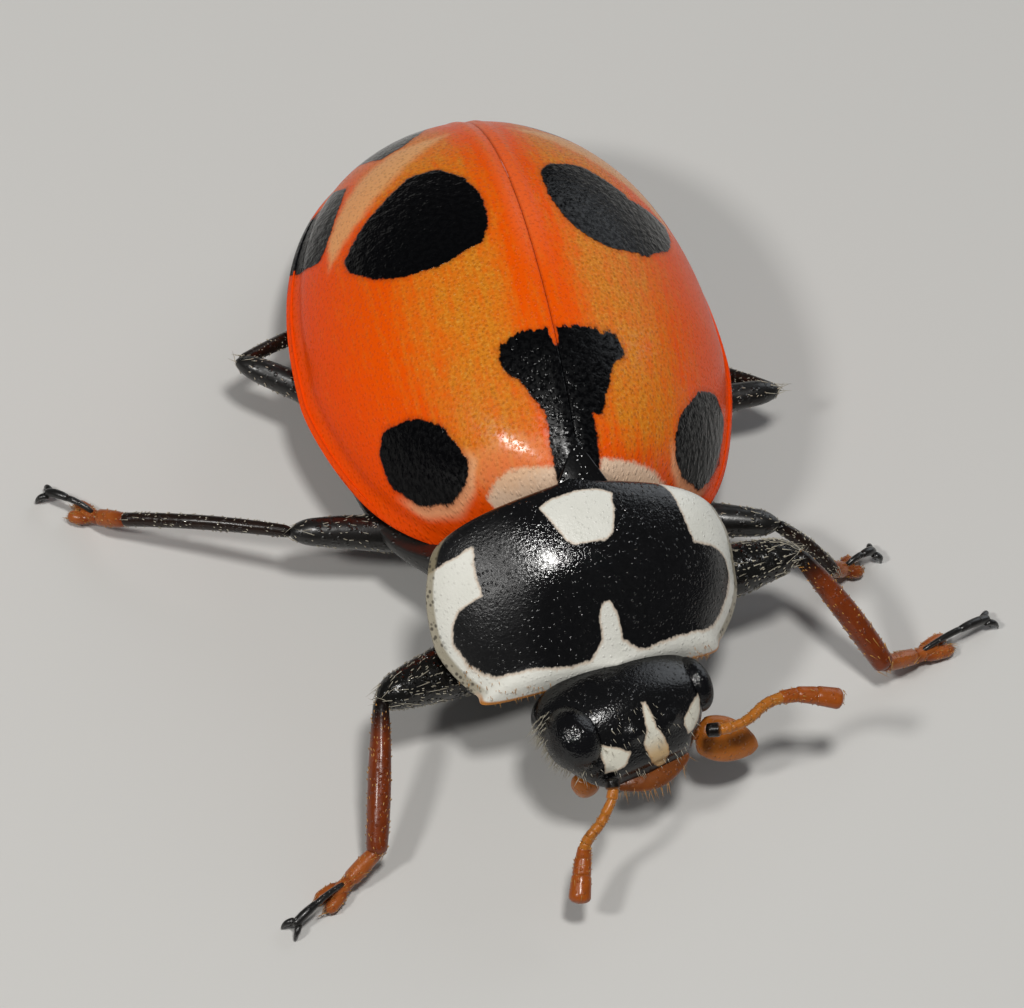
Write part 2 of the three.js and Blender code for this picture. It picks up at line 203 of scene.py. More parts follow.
class Finish:
    """One material: a Principled shader and the nodes that feed it."""

    def __init__(self, name, constants):
        self.material = bpy.data.materials.new(name)
        self.material.use_nodes = True
        self.tree = self.material.node_tree
        self.shader = self.tree.nodes["Principled BSDF"]
        for socket, value in constants.items():
            self.shader.inputs[socket].default_value = value

    def node(self, kind, settings=None, inputs=None, output=0):
        made = self.tree.nodes.new("ShaderNode" + kind)
        for key, value in (settings or {}).items():
            setattr(made, key, value)
        for key, value in (inputs or {}).items():
            if isinstance(value, Wire):
                self.tree.links.new(value.socket, made.inputs[key])
            else:
                made.inputs[key].default_value = value
        return Wire(self, made.outputs[output])

    def feed(self, socket, wire):
        self.tree.links.new(wire.socket, self.shader.inputs[socket])

    def places(self):
        """The piece's own coordinates, in metres."""
        return self.node("TexCoord", output="Object")

    def spread(self, name="spread"):
        """A piece's own map of its surface, in millimetres."""
        return self.node("Attribute", {"attribute_name": name}, output="Vector")

    def part(self, vector, axis):
        return self.node("SeparateXYZ", None, {0: vector}, output=axis)

    def moved(self, vector, location=(0, 0, 0), turn=0, scale=(1, 1, 1)):
        inputs = {"Vector": vector, "Location": location, "Rotation": (0, 0, turn), "Scale": scale}
        return self.node("Mapping", {"vector_type": "TEXTURE"}, inputs)

    def vectors(self, operation, *terms, output=0):
        return self.node("VectorMath", {"operation": operation}, dict(enumerate(terms)), output)

    def flat(self, vector):
        return self.vectors("MULTIPLY", vector, (1, 1, 0))

    def oval(self, vector, centre, radii, turn=0):
        """Roughly the distance outside an oval on a flat map."""
        at = self.moved(vector, (*centre, 0), radians(turn), (*radii, 1))
        reach = self.vectors("LENGTH", at, output="Value")
        return (reach - 1) * ((radii[0] + radii[1]) / 2)

    def patch(self, vector, corners, blend):
        """The distance outside a convex patch, its corners given in turn as x, y, x, y."""
        field = None
        corners = [(x / 100, y / 100) for x, y in zip(corners[::2], corners[1::2])]
        pairs = list(zip(corners, corners[1:] + corners[:1]))
        if sum(a[0] * b[1] - b[0] * a[1] for a, b in pairs) < 0:
            pairs = [(b, a) for a, b in pairs]
        for (x, y), (to_x, to_y) in pairs:
            run = hypot(to_x - x, to_y - y)
            out = ((to_y - y) / run, (x - to_x) / run, 0)
            at = self.vectors("DOT_PRODUCT", vector, out, output="Value")
            side = at - (x * out[0] + y * out[1])
            field = side if field is None else field.high(side, blend)
        return field

    def marks(self, vector, patches):
        """Patches joined to one mark. A row gives the softness of its corners, that of its join
        to the rows before it, and its corners, all in hundredths of a millimetre."""
        field = None
        for soft, join, corners in patches:
            one = self.patch(vector, corners, soft / 100)
            field = one if field is None else field.low(one, join / 100)
        return field

    def noise(self, vector, scale, detail=2.0, roughness=0.5):
        inputs = {"Vector": vector, "Scale": scale, "Detail": detail, "Roughness": roughness}
        return self.node("TexNoise", None, inputs)

    def sway(self, vector, scale, detail, roughness=0.5):
        """Noise centred on 0."""
        return self.noise(vector, scale, detail, roughness) - 0.5

    def cells(self, vector, scale, randomness, dimensions="3D"):
        settings = {"voronoi_dimensions": dimensions}
        inputs = {"Vector": vector, "Scale": scale, "Randomness": randomness}
        return self.node("TexVoronoi", settings, inputs)

    def mix(self, factor, first, second):
        """first where factor is 0, second where it is 1; each a colour or a wire."""
        settings = {"data_type": "RGBA", "clamp_factor": True}
        return self.node("Mix", settings, {0: factor, 6: first, 7: second}, output=2)

    def laid(self, ground, *layers):
        """Paints laid one over another on a ground, each a mask and a colour."""
        for mask, colour in layers:
            ground = self.mix(mask, ground, paint(colour))
        return ground

    def tinted(self, factor, first, second):
        return self.mix(factor, paint(first), paint(second))

    def bump(self, height, distance, strength, under=None):
        inputs = {"Height": height, "Distance": distance * MM, "Strength": strength}
        if under:
            inputs["Normal"] = under
        return self.node("Bump", None, inputs)


# Marks on a shell's flat map, as rows for Finish.marks.
CASE_MARKS = {
    "cream": (
        (3, 0, (-16, -78, -33, -73.5, -53, -69.5, -80, -75, -80, -100, -16, -100)),
        (3, 0.1, (16, -74, 35, -71, 68, -68, 95, -69, 90, -100, 16, -100))),
    "band": (
        (3, 0, (156, 152, 150, 180, 127, 206, 99, 230, 66, 244, 26, 244)),),
    "shoulders": (
        (5, 0, (-160, -13, -148, -2, -118, -8, -97, -23, -82, -55, -90, -65, -112, -67.5, -142, -58,
                -162, -36)),
        (5, 0.1, (93, -44, 101, -25, 130, 2, 160, 12, 186, 6, 193, -20, 150, -54, 114, -60,
                  98, -56))),
    "hind": (
        (4, 0, (-142, 147, -115, 172, -68, 200, -47, 198, -32, 182, -24, 155, -26, 130, -34, 112,
                -69, 100, -102, 104, -124, 117, -141, 136)),
        (4, 0.1, (23.5, 150, 25, 178, 34, 188, 62, 191, 100, 168, 100, 102, 62, 98.5, 42, 108,
                  30, 125)),
        (4, 4, (90, 172, 126, 162, 148, 160, 144, 138, 131, 120, 90, 99))),
    "margin": (
        (3, 0, (166, 166, 156, 172, 127, 211, 115, 230, 130, 245, 180, 235, 225, 205, 195, 180)),
        (3, 0.1, (94, 262, 79, 243, 60, 247, 42, 260, 29, 277, 40, 310, 110, 300))),
    "scutellar": (
        (3, 0, (-18, -95, -18.5, -30, 25, -30, 21, -61, 16.5, -76, 16.5, -95)),
        (3, 2, (-17, -42, -40, 3, 42, 3, 23.5, -42)),
        (3, 3, (-37, -9, 40, -2, 52, 6, 48, 22, 28, 27, -29, 26.5, -42, 18, -44, 5))),
}


def case_finish():
    """Orange-red wing cases: golden middle, cream at the base, glossy black marks, punctures."""
    gloss = {"IOR": 1.5, "Specular IOR Level": 0.07, "Coat Roughness": 0.19}
    look = Finish("wing_case_shell", gloss)
    spread = look.spread()
    flat = look.flat(spread)
    mirrored = look.vectors("ABSOLUTE", flat)
    along = look.part(spread, 1)
    over_rim = look.part(spread, 2)
    from_seam = look.part(spread, 0).size()
    ragged = look.sway(flat, 13, 3, 0.6) * 0.05 + look.sway(flat, 42, 1.5) * 0.022
    clouds = look.noise(flat, 3.2, 3, 0.6)
    grain = look.noise(flat, 38, 3, 0.65)
    streaks = look.sway(look.moved(flat, scale=(0.07, 0.9, 1)), 1.0, 3, 0.55)
    mottle = look.sway(look.moved(flat, scale=(0.05, 0.16, 1)), 1.0, 3, 0.6)
    blotches = look.sway(flat, 9, 3, 0.65)

    # Ground: golden middle, red beside the seam, over the shoulders and down the flanks.
    gold = from_seam.step(0.12, 0.42) * from_seam.step(1.32, 0.6) * along.step(-0.75, -0.4)
    gold = (gold * (0.45 + clouds * 0.75 + blotches * 1.1) + streaks * 1.1 + mottle).clear()
    ground = look.laid(
        look.tinted(gold, "ec5602", "d8801e"),
        (over_rim.step(1.0, 0.3) * 0.85, "f24a00"),
        (grain.step(0.48, 0.7) * gold * 0.6, "a85f14"),
        (grain.step(0.5, 0.3) * gold * 0.4, "e8b04e"),
        (from_seam.step(0.25, 0.6) * along.step(1.9, 2.5) * 0.35, "e8822e"))

    # Cream at the base beside the scutellum, a painted highlight behind the right cream patch, and
    # a peach band behind the hind spots.
    cream = look.marks(flat, CASE_MARKS["cream"])
    cream = (cream + look.sway(flat, 24, 3, 0.7) * 0.07).inside(0.02)
    # Painted highlight: a soft pale peach oval near the base of the right case, where the lamp's
    # glint falls.
    painted_highlight = look.oval(flat, (-0.52, -0.64), (0.36, 0.15), -6)
    painted_highlight = (painted_highlight + look.sway(flat, 20, 3, 0.7) * 0.2).inside(0.08)
    band = look.marks(mirrored, CASE_MARKS["band"])
    band = (band + look.sway(flat, 9, 3, 0.6) * 0.08).inside(0.05)

    # The seam is a fine dark line; beside it towards the tail a pinkish band is a painted highlight
    # on its raised edge.
    punctures = look.cells(flat, 23, 0.9, "2D")
    fine_dots = look.cells(look.moved(flat, (0.31, 0.2, 0)), 30, 1.0, "2D")
    pits = punctures.step(0.32, 0.1)
    ground = look.laid(
        ground,
        # The pale peach eeb074 layer is the painted highlight near the right case's base.
        (cream * 0.95, "ecd0b4"), (painted_highlight * 0.35, "eeb074"), (band * 0.85, "e8ac70"),
        # Pinkish band beside the seam towards the tail: painted highlight on the raised edge.
        (from_seam.step(0.15, 0.05) * along.step(0.6, 1.4) * 0.4, "ee7444"),
        (from_seam.step(0.02, 0.004) * 0.5, "b8400c"),
        (pits * (1 - cream) * (0.05 + gold * 0.2), "8a4210"),
        (fine_dots.step(0.22, 0.08) * 0.12, "7a3a10"),
        (over_rim.step(0.06, 0.02) * 0.8, "f04a0a"))

    # The black marks: shoulder, hind and margin spots, and the shared one round the scutellum.
    shoulders = look.marks(flat, CASE_MARKS["shoulders"])
    hind = look.marks(flat, CASE_MARKS["hind"])
    margin = look.marks(mirrored, CASE_MARKS["margin"])
    notch = look.oval(flat, (-0.015, 0.23), (0.035, 0.11))
    notch = notch.low(look.oval(flat, (0.36, 0.29), (0.05, 0.06)), 0.01)
    comb = look.sway(look.moved(flat, scale=(0.035, 0.12, 1)), 1.0, 2) * along.step(0.05, 0.25)
    scutellar = look.marks(flat, CASE_MARKS["scutellar"]).high(0 - notch, 0.01) + comb * 0.09
    marks = shoulders.low(hind, 0.001).low(margin, 0.001).low(scutellar, 0.001) + ragged
    crescent = shoulders.step(0.09, 0.03) * along.step(-0.4, -0.6)
    halo = marks.step(0.045, 0.0)
    ground = look.laid(ground, (crescent * 0.75, "f0b484"), (halo * 0.3, "6b2408"))
    black = marks.inside(0.008)
    look.feed("Base Color", look.mix(black, ground, look.tinted(grain * 0.5, "030304", "0e0f11")))

    relief = look.bump(pits * (1 - black * 0.75), 0.0045, 0.8)
    relief = look.bump(look.noise(flat, 13, 2, 0.6) * black, 0.019, 0.9, relief)
    relief = look.bump(grain * (1 - black * 0.7), 0.0052, 0.9, relief)
    look.feed("Normal", relief)
    look.feed("Roughness", 0.2 - black * 0.13 + grain * 0.06)
    sparks = look.noise(flat, 27, 2, 0.7).step(0.42, 0.6)
    wet = over_rim.step(0.5, 1.05) * (along.step(0.5, -0.2) * 0.85 + 0.1)
    look.feed("Coat Weight", wet * (sparks * 0.95 + 0.05) + black * sparks * 0.15)
    return look


def shell_relief(look, vector, scale, depth):
    """Punctures and faint ripples shared by the black shells."""
    pits = look.cells(vector, scale, 1.0).step(0.34, 0.08)
    ripple = look.noise(vector, scale * 0.5, 3, 0.6)
    sparkle = look.noise(vector, scale * 1.5, 2, 0.7)
    relief = look.bump(pits, depth * 0.5, 0.9)
    relief = look.bump(sparkle, depth * 0.75, 0.8, relief)
    return pits, look.bump(ripple, depth * 0.7, 0.5, relief)


SHIELD_MARKS = {
    "black": (
        (3, 0, (-87, -62, -88, -40, -84, -22, -78, -5, -70, 15, 66, 15, 71, -10, 76, -24, 83, -33,
                82, -62)),
        (3, 1.5, (-85, -57, -103, -56.5, -109, -62, -110.5, -70, -105, -86, -98, -95.5, -87, -104.5,
                  -61, -111.5, -39, -116.5, -19, -117, -9, -110, -9, -57)),
        (3, 1.5, (80, -56, 98, -54.5, 108, -59, 109, -70, 105, -80, 91, -98.5, 77, -107, 59, -111,
                  36, -115, 22, -116, 11.5, -107, 8.5, -56)),
        (6, 0.5, (-30, -116.5, 30, -116.5, 30, -59.5, -30, -59.5)),
        (3, 3, (-70, -22, -100, -24, -140, -16, -140, 20, -50, 20))),
    "tooth": (
        (2, 0, (1.5, -88.5, -5, -88.5, -8.5, -94, -9, -109, -9, -120, 8.5, -120, 7.5, -106,
                6, -96)),
        (2, 2, (-9, -108, -20, -117, -20, -130, 25, -130, 20, -117.5, 8, -110))),
    "basal": (
        (3, 0, (-32, -15, -24, -10.5, 1, -8, 18, -10.5, 25.5, -16, 21.5, -34, 17, -45, 9, -51,
                -16, -49, -21, -45, -27, -29)),),
}


def shield_finish():
    """Black neck shield with cream border, tooth and basal patch."""
    look = Finish("neck_shield_shell", {"IOR": 1.5, "Coat Roughness": 0.12})
    spread = look.spread()
    flat = look.flat(spread)
    edge, front, rise = (look.part(look.spread("edge"), axis) for axis in range(3))
    ragged = look.sway(flat, 16, 2, 0.6) * 0.03 + look.sway(flat, 60, 1) * 0.014
    black, tooth, basal = (look.marks(flat, patches) for patches in SHIELD_MARKS.values())
    pale_field = (0 - black).low(tooth, 0.01).low(basal, 0.001) + ragged
    pale = pale_field.inside(0.007)
    cream = look.tinted(look.noise(flat, 5, 2), "d9d9cf", "e9e8e0")
    ink = look.tinted(look.noise(flat, 9, 3), "020203", "0a0a0c")

    # An amber line round the cream, the clear brown rim with its pits, the amber front edge, and
    # painted shade: dark brown over the underside below the rim.
    amber_line = pale_field.size().step(0.022, 0.0)
    rim = 1 - front
    dots = look.cells(spread, 21, 0.9).step(0.42, 0.2)
    pits, relief = shell_relief(look, spread, 27, 0.007)
    look.feed("Base Color", look.laid(
        look.mix(pale, ink, cream),
        (amber_line * pale * 0.45, "b07a3c"),
        (edge.step(0.09, 0.06) * rim * 0.8, "8d8268"),
        (edge.step(0.12, 0.05) * rim * dots * 0.8, "2b251c"),
        (edge.step(0.045, 0.018) * front, "b7752a"),
        # Painted shade: the underside below the rim is dark brown, standing in for the shade under
        # the shield's edge.
        (rise.step(-0.02, -0.1), "15100b"),
        (pits * pale * 0.08, "8e8776")))
    beside = look.part(flat, 0).step(-0.35, -0.72)
    look.feed("Roughness", 0.08 + pale * 0.28 + beside * 0.26)
    sparks = look.noise(spread, 30, 2, 0.7).step(0.42, 0.6)
    look.feed("Coat Weight", (1 - beside) * (0.06 + sparks * 0.34))
    look.feed("Normal", relief)
    return look


# The flame on the brow and its drop below, then the patches inside the right and left eyes.
HEAD_MARKS = (
    (1, 0, (1.5, -14, 9.2, -13, 8.8, 0, 10, 10, -2, 10, 0.6, 0)),
    (2, 2, (0, 6, 9, 7, 14.5, 20, 15.7, 31, 13.6, 39, 8, 40.5, 0, 33, -5, 15)),
    (2, 0.1, (-40, 3, -29, 8, -16, 17, -21, 26, -25, 28, -37, 28, -39, 12)),
    (2, 0.1, (57, -6, 54, 6, 50, 15, 41, 22.5, 35, 23.5, 32.5, 15, 33.5, 8, 42, 4.5)),
)


def head_finish():
    """Black head with a cream flame on the brow and a cream patch inside each eye."""
    look = Finish("head_shell", {"IOR": 1.5, "Coat Weight": 0.08, "Coat Roughness": 0.12})
    flat = look.flat(look.spread("face"))
    pale_field = look.marks(flat, HEAD_MARKS) + look.sway(flat, 22, 2, 0.6) * 0.03
    pale = pale_field.inside(0.007)
    down = look.part(flat, 1)
    central = (look.part(flat, 0) - 0.07).size().step(0.2, 0.1)
    cream = look.tinted(down.step(0.1, 0.3) * central, "dedbcc", "c8a878")
    ink = look.tinted(look.noise(flat, 9, 3), "020203", "0b0b0d")
    amber_line = pale_field.size().step(0.02, 0.0)
    colour = look.mix(pale, ink, cream)
    look.feed("Base Color", look.laid(colour, (amber_line * pale * 0.5, "a56c33")))
    look.feed("Roughness", 0.2 + pale * 0.15 + down.step(0.1, 0.5) * 0.1)
    look.feed("Normal", shell_relief(look, look.spread(), 28, 0.006)[1])
    return look


def eye_finish():
    look = Finish("compound_eye", {"IOR": 1.5, "Roughness": 0.13})
    look.feed("Base Color", look.tinted(look.noise(look.places(), 4200, 2), "020203", "0d0d10"))
    look.feed("Normal", look.bump(look.noise(look.places(), 30000, 2, 0.7), 0.009, 0.9))
    return look


def black_cuticle(name, low, high, roughness, depth=0.007, coat=0.25):
    """Satin black cuticle with pits, for the body and legs."""
    look = Finish(name, {"IOR": 1.5, "Coat Weight": coat, "Coat Roughness": 0.2})
    places = look.places()
    pits = look.cells(places, 21000, 1.0).step(0.4, 0.1)
    scuffs = look.noise(places, 16000, 3, 0.6)
    look.feed("Base Color", look.tinted(look.noise(places, 5200, 4, 0.6), low, high))
    look.feed("Roughness", roughness + scuffs * 0.12 - pits * 0.06)
    look.feed("Normal", look.bump(scuffs, depth * 0.6, 0.6, look.bump(pits, depth, 0.8)))
    return look


def amber_cuticle(name, pale, deep, dark, near=0.0, far=0.12):
    """Red-brown to amber cuticle: darker in spots, glossy, and a little see-through."""
    look = Finish(name, {
        "IOR": 1.5, "Specular IOR Level": 0.3, "Coat Weight": 0.14, "Coat Roughness": 0.1,
        "Subsurface Weight": 0.2, "Subsurface Scale": 0.06 * MM,
        "Subsurface Radius": (1.0, 0.45, 0.15)})
    along = look.part(look.spread(), 1)
    places = look.places()
    tone = look.noise(places, 6500, 4, 0.6)
    bands = look.noise(look.moved(places, scale=(0.00008, 0.00008, 0.0004)), 1, 2)
    colour = look.tinted((tone * 0.7 + bands * 0.5 - 0.1).clear(), pale, deep)
    pits = look.cells(places, 26000, 1.0).step(0.36, 0.1)
    look.feed("Base Color", look.laid(colour, (along.step(far, near), dark)))
    look.feed("Roughness", 0.24 + tone * 0.1)
    look.feed("Normal", look.bump(tone, 0.014, 0.7, look.bump(pits, 0.008, 0.8)))
    return look


def hair_finish(name, root, tip):
    look = Finish(name, {"Roughness": 0.34, "IOR": 1.5, "Coat Weight": 0.3})
    look.feed("Base Color", look.tinted(look.noise(look.places(), 9000, 2), root, tip))
    return look


def floor_finish():
    look = Finish("pale_floor", {"IOR": 1.4})
    tone = look.noise(look.places(), 60, 4, 0.5)
    look.feed("Base Color", look.tinted(tone, "c9c8c5", "d2d1ce"))
    look.feed("Roughness", 0.62 + tone * 0.1)
    return look


# ---------- forms ----------


def held(value):
    return max(0, min(1, value))


def as_mesh(name, bm):
    mesh = bpy.data.meshes.new(name)
    bm.to_mesh(mesh)
    bm.free()
    return mesh


def sized(bm, size, middle):
    """Scales a form about zero and moves it to its middle."""
    bmesh.ops.scale(bm, vec=size, verts=bm.verts)
    bmesh.ops.translate(bm, vec=middle, verts=bm.verts)
    return bm


def layer_of(bm, name):
    return bm.verts.layers.float_vector.get(name) or bm.verts.layers.float_vector.new(name)


def in_order(bm, around, along, place):
    """Sorts a round form ring by ring, because each run spins its parts in another order."""
    def corner(v):
        turn, share = place(v.co)
        ring = round(share * along)
        return ring * around + (round(turn * around) % around if 0 < ring < along else 0)

    def cell(f):
        turn, share = place(f.calc_center_median())
        return share * along // 1 * around + turn * around // 1 % around

    bm.verts.sort(key=corner)
    bm.faces.sort(key=cell)


def ball(around, along):
    """A unit ball with its poles on Y."""
    bm = bmesh.new()
    bmesh.ops.create_uvsphere(bm, u_segments=around, v_segments=along, radius=1)
    bmesh.ops.rotate(bm, verts=bm.verts, matrix=Matrix.Rotation(RIGHT_ANGLE, 3, "X"))
    in_order(bm, around, along, lambda co: (atan2(co.z, co.x) / tau, ball_turn(co)))
    return mapped(bm, "wrap", lambda co: (atan2(co.z, co.x) / tau + 0.5, ball_turn(co), 0))


def ball_turn(co):
    """0 at the ball's -Y pole and 1 at its +Y pole."""
    return 1 - acos(max(-1, min(1, co.y))) / pi


def stations(rows):
    """A smooth curve through rows of (turn, value, value ...)."""
    def slope(i, k):
        a, b = rows[max(i - 1, 0)], rows[min(i + 1, len(rows) - 1)]
        return (b[k] - a[k]) / (b[0] - a[0])

    def at(turn):
        i = max(n for n in range(len(rows) - 1) if rows[n][0] <= turn)
        here, there = rows[i], rows[i + 1]
        span = there[0] - here[0]
        t = (turn - here[0]) / span
        values = []
        for k in range(1, len(here)):
            ends = here[k] * (1 + 2 * t) * (1 - t) ** 2 + there[k] * t * t * (3 - 2 * t)
            values.append(ends + span * t * (1 - t) * (slope(i, k) * (1 - t) - slope(i + 1, k) * t))
        return values
    return at


def loft(ring_at, around, along, crown_power, keel_power):
    """A closed form on a ball's rings; ring_at(turn) gives y, half-width, crown, rim and keel."""
    bm = ball(around, along)
    edge = bm.verts.layers.float_vector.new("edge")
    for v in bm.verts:
        size = hypot(v.co.x, v.co.z)
        across, rise = (v.co.x / size, v.co.z / size) if size > 1e-5 else (0, 0)
        y, half, crown, rim, keel = ring_at(ball_turn(v.co))
        above = (crown - rim) * max(rise, 0) ** crown_power
        below = (rim - keel) * max(-rise, 0) ** (keel_power if rim > keel else 2)
        v[edge] = (above if rise >= 0 else 0, 0, rise)
        v.co = (across * half, y, rim + above - below)
    return bm


def turned(radius_at, length, steps, sides):
    """A closed form turned about Z, from 0 to its length; radius_at reads a share of the length."""
    bm = bmesh.new()
    shares = [(1 - cos(pi * i / steps)) / 2 for i in range(steps + 1)]
    chain = [bm.verts.new((0 if u in (0, 1) else radius_at(u), 0, u * length)) for u in shares]
    edges = [bm.edges.new(pair) for pair in zip(chain, chain[1:])]
    bmesh.ops.spin(bm, geom=chain + edges, cent=(0, 0, 0), axis=(0, 0, 1), dvec=(0, 0, 0),
                   angle=2 * pi, steps=sides, space=Matrix(), use_merge=True, use_duplicate=False)
    bmesh.ops.remove_doubles(bm, verts=bm.verts, dist=1e-5)
    bmesh.ops.recalc_face_normals(bm, faces=bm.faces)
    in_order(bm, sides, steps,
             lambda co: (atan2(co.y, co.x) / tau, acos(1 - 2 * held(co.z / length)) / pi))
    return mapped(bm, "wrap", lambda co: (atan2(co.y, co.x) / tau + 0.5, co.z / length, 0))


def rounded(share, first, middle, last, cap):
    """A limb's radius: smooth between three sizes, with round ends."""
    swell = (1 - share) ** 2 * first + 2 * share * (1 - share) * middle + share ** 2 * last
    near = min(share, 1 - share) / cap
    return swell * (sqrt(1 - (1 - near) ** 2) if near < 1 else 1)


def aim(bm, start, end, upward=Vector((0, 0, 1)), flat=1.0, bow=0.0):
    """Turns a form that stands on Z to run from start to end, flattened and bowed upwards."""
    start, run = Vector(start), Vector(end) - Vector(start)
    way = run.normalized()
    side = way.cross(upward).normalized()
    top = side.cross(way)
    length = run.length
    spread = layer_of(bm, "spread")
    for v in bm.verts:
        share = v.co.z / length
        v[spread] = (v.co.x, v.co.z, share)
        lift = bow * 4 * share * (1 - share)
        v.co = start + way * v.co.z + side * v.co.x * flat + top * (v.co.y + lift)
    return bm


def limb(start, end, radii, steps, sides, cap=0.08, **lay):
    """A round-ended limb; radii are those at its start, middle and end."""
    length = (Vector(end) - Vector(start)).length
    bm = turned(lambda share: rounded(share, *radii, cap), length, steps, sides)
    return aim(bm, start, end, **lay)


def joined(forms):
    """Several forms as one mesh."""
    bm = bmesh.new()
    bm.verts.layers.float_vector.new("spread")
    for form in forms:
        mesh = as_mesh("part", form)
        bm.from_mesh(mesh)
        bpy.data.meshes.remove(mesh)
    return bm


def turn_place(bm, turn, middle):
    """Turns a form about Z and moves it to its middle."""
    bmesh.ops.rotate(bm, verts=bm.verts, matrix=Matrix.Rotation(turn, 3, "Z"))
    bmesh.ops.translate(bm, vec=middle, verts=bm.verts)
    return bm


def mapped(bm, name, reader):
    """Gives each vertex a value, read from its place, in a layer that finishes read."""
    layer = layer_of(bm, name)
    for v in bm.verts:
        v[layer] = reader(v.co)
    return bm


def thicken(bm, wall):
    """Gives an open skin that faces outwards an inner wall, and closes its edge."""
    bm.normal_update()
    outer = bm.verts[:]
    inward = {v: v.co - v.normal * wall for v in outer}
    rims = [e for e in bm.edges if e.is_boundary]
    copy = bmesh.ops.duplicate(bm, geom=bm.verts[:] + bm.edges[:] + bm.faces[:])
    for v in outer:
        copy["vert_map"][v].co = inward[v]
    inner = [g for g in copy["geom"] if isinstance(g, bmesh.types.BMFace)]
    bmesh.ops.reverse_faces(bm, faces=inner)
    bmesh.ops.bridge_loops(bm, edges=rims + [copy["edge_map"][e] for e in rims])


HAIRS = {"pale": [], "gold": []}
HAIR = SimpleNamespace(radius=0.0042, thinning=0.7, steps=3, sides=3, sunk=0.008, bend=0.4)
TILES = 10  # the OFBake map is a board of 10 by 10 tiles, one for each hairy form
PATCH = 0.0015


def grow(bm, wool, count, length, lie, where=None):
    """Notes where hairs stand on a form: they rise from its skin and bend along the way of lie."""
    bm.normal_update()
    bm.verts.index_update()
    wrap = bm.verts.layers.float_vector["wrap"]
    faces = [f for f in bm.faces if where is None or where(f.calc_center_median())]
    lie = Vector(lie).normalized()
    stands = []
    for face in DRAW.choices(faces, weights=[f.calc_area() for f in faces], k=count):
        corners = sorted(face.verts, key=lambda v: v.index)
        shares = [DRAW.random() + 0.05 for _ in corners]
        root = sum((v.co * share for v, share in zip(corners, shares)), Vector()) / sum(shares)
        lean = lie + Vector(DRAW.uniform(-0.35, 0.35) for _ in range(3))
        reach = length * DRAW.uniform(0.55, 1.15)
        stands.append((corners[0][wrap].xy, root, face.normal.copy(), lean, reach))
    HAIRS[wool].append(stands)


def hair(bm, root, out, lean, length):
    """One solid hair that stays over the floor: its rings from the root, and its tip."""
    way = (out * 0.55 + lean * 0.7).normalized()
    side = way.orthogonal().normalized()
    other = way.cross(side)
    end = root + (way + lean * HAIR.bend) * length
    lift = Vector((0, 0, max(HAIR.radius - end.z, 0)))
    rings = []
    for step in range(HAIR.steps):
        share = step / HAIR.steps
        bent = (way * share + lean * HAIR.bend * share ** 2) * length
        centre = root - out * HAIR.sunk + bent + lift * share
        taper = 1 - HAIR.thinning * share
        spokes = [side * cos(turn) + other * sin(turn)
                  for turn in (tau * k / HAIR.sides for k in range(HAIR.sides))]
        rings.append([bm.verts.new(centre + spoke * HAIR.radius * taper) for spoke in spokes])
    return rings, bm.verts.new(end + lift)


def hair_coat(wool, look):
    """One wool's hairs as a mesh. Each has a small patch of the OFBake map at its root's place."""
    bm = bmesh.new()
    bake = bm.loops.layers.uv.new("OFBake")
    sides = range(HAIR.sides)
    for tile, stands in enumerate(HAIRS[wool]):
        for spot, *stand in stands:
            rings, tip = hair(bm, *stand)
            patch = Vector(((tile % TILES + spot.x) / TILES, (tile // TILES + spot.y) / TILES))
            places = {tip: patch + Vector((0, PATCH))}
            for step, ring in enumerate(rings):
                for k in sides:
                    off = Vector((k - 1, 2 * step / HAIR.steps - 1))
                    places[ring[k]] = patch + off * PATCH
            faces = [bm.faces.new((low[k - 1], low[k], high[k], high[k - 1]))
                     for low, high in zip(rings, rings[1:]) for k in sides]
            faces += [bm.faces.new((rings[-1][k - 1], rings[-1][k], tip)) for k in sides]
            faces.append(bm.faces.new(rings[0][::-1]))
            for loop in (loop for face in faces for loop in face.loops):
                loop[bake].uv = places[loop.vert]
    piece(f"hairs_{wool}", bm, look, sharp=180)


def piece(name, bm, look, nodes=(), sharp=50):
    """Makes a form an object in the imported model's frame, riding on the root body."""
    mesh = as_mesh(name, sized(bm, (MM, MM, MM), ORIGIN))
    mesh.shade_smooth()
    mesh.set_sharp_from_angle(angle=radians(sharp))
    mesh.materials.append(look.material)
    made = placed(name, mesh)
    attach(made, "root")
    if nodes:
        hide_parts(*nodes)


# ---------- wing cases ----------


def past(share):
    """How far a share of the cases' length lies ahead of and behind the widest place."""
    widest = CASES.widest
    return max(widest - share, 0) / widest, max(share - widest, 0) / (1 - widest)


def case_half(share):
    ahead, behind = past(share)
    ahead, behind = min(ahead, 1), min(behind, 1)
    shoulder = (1 - 0.33 * ahead ** 1.5) * sqrt(max(1 - ahead ** 7, 0))
    return CASES.half * shoulder * sqrt(max(1 - behind ** 2.33, 0))


def case_rim(share):
    return CASES.rim - CASES.tail_drop * past(share)[1] ** 2


def case_crown(share):
    ahead, behind = past(share)
    if share < CASES.widest:
        return CASES.crown - (CASES.crown - CASES.base_crown) * ahead ** 2
    rim = case_rim(share)
    return rim + (CASES.crown - rim) * max(1 - behind ** 2.2, 0) ** 0.62


def case_section(share, angle):
    """Half-width and height of the dome; angle runs from the rim (0) to the ridge."""
    half, rim = case_half(share), case_rim(share)
    height = (case_crown(share) - rim) * max(sin(angle), 0) ** CASES.dome
    lip = CASES.lip * half / CASES.half
    flare = lip * exp(-height / 0.05) - 0.5 * lip * exp(-((height - 0.13) / 0.06) ** 2)
    return cos(angle) * (half - lip) + flare, rim + height


ARC_STEPS = 10


